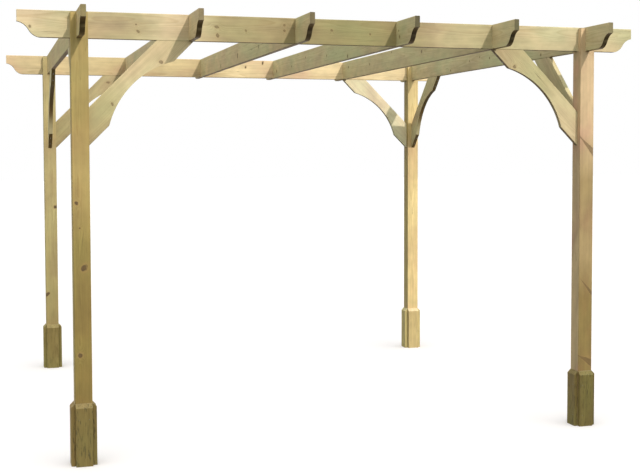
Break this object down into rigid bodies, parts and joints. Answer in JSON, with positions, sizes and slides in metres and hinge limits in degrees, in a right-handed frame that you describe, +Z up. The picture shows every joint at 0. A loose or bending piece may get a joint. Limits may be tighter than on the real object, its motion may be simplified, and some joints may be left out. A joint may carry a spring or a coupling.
{
  "type": "wooden garden pergola",
  "caption": "Free-standing open timber pergola: square posts with shoe boards carry notched beams and rafters with ogee ends, stiffened by curved knee braces.",
  "frame": {"origin": "on the ground, midway between the four posts", "axes": "+X along the two beams towards the right-hand posts, +Y along the rafters towards the rear posts, +Z up"},
  "size_m": [3.56, 3.41, 2.37],
  "materials": {
    "post_timber": "planed pressure-treated softwood, uncoated, matt",
    "beam_timber": "planed pressure-treated softwood, uncoated, matt",
    "rafter_timber": "planed pressure-treated softwood, uncoated, matt",
    "brace_timber": "planed pressure-treated softwood with a sawn curved edge, matt",
    "shoe_timber": "rougher pressure-treated softwood, weathered olive brown, matt"
  },
  "bodies": {
    "root": {"post_front_left": "post_timber", "post_front_right": "post_timber", "post_rear_left": "post_timber", "post_rear_right": "post_timber", "beam_front": "beam_timber", "beam_rear": "beam_timber", "rafter_1": "rafter_timber", "rafter_2": "rafter_timber", "rafter_3": "rafter_timber", "rafter_4": "rafter_timber", "rafter_5": "rafter_timber", "rafter_6": "rafter_timber", "beam_brace_front_left": "brace_timber", "beam_brace_front_right": "brace_timber", "beam_brace_rear_left": "brace_timber", "beam_brace_rear_right": "brace_timber", "rafter_brace_front_left": "brace_timber", "rafter_brace_front_right": "brace_timber", "rafter_brace_rear_left": "brace_timber", "rafter_brace_rear_right": "brace_timber", "shoe_front_left_front": "shoe_timber", "shoe_front_left_rear": "shoe_timber", "shoe_front_left_left": "shoe_timber", "shoe_front_left_right": "shoe_timber", "shoe_front_right_front": "shoe_timber", "shoe_front_right_rear": "shoe_timber", "shoe_front_right_left": "shoe_timber", "shoe_front_right_right": "shoe_timber", "shoe_rear_left_front": "shoe_timber", "shoe_rear_left_rear": "shoe_timber", "shoe_rear_left_left": "shoe_timber", "shoe_rear_left_right": "shoe_timber", "shoe_rear_right_front": "shoe_timber", "shoe_rear_right_rear": "shoe_timber", "shoe_rear_right_left": "shoe_timber", "shoe_rear_right_right": "shoe_timber"}
  },
  "joints": []
}
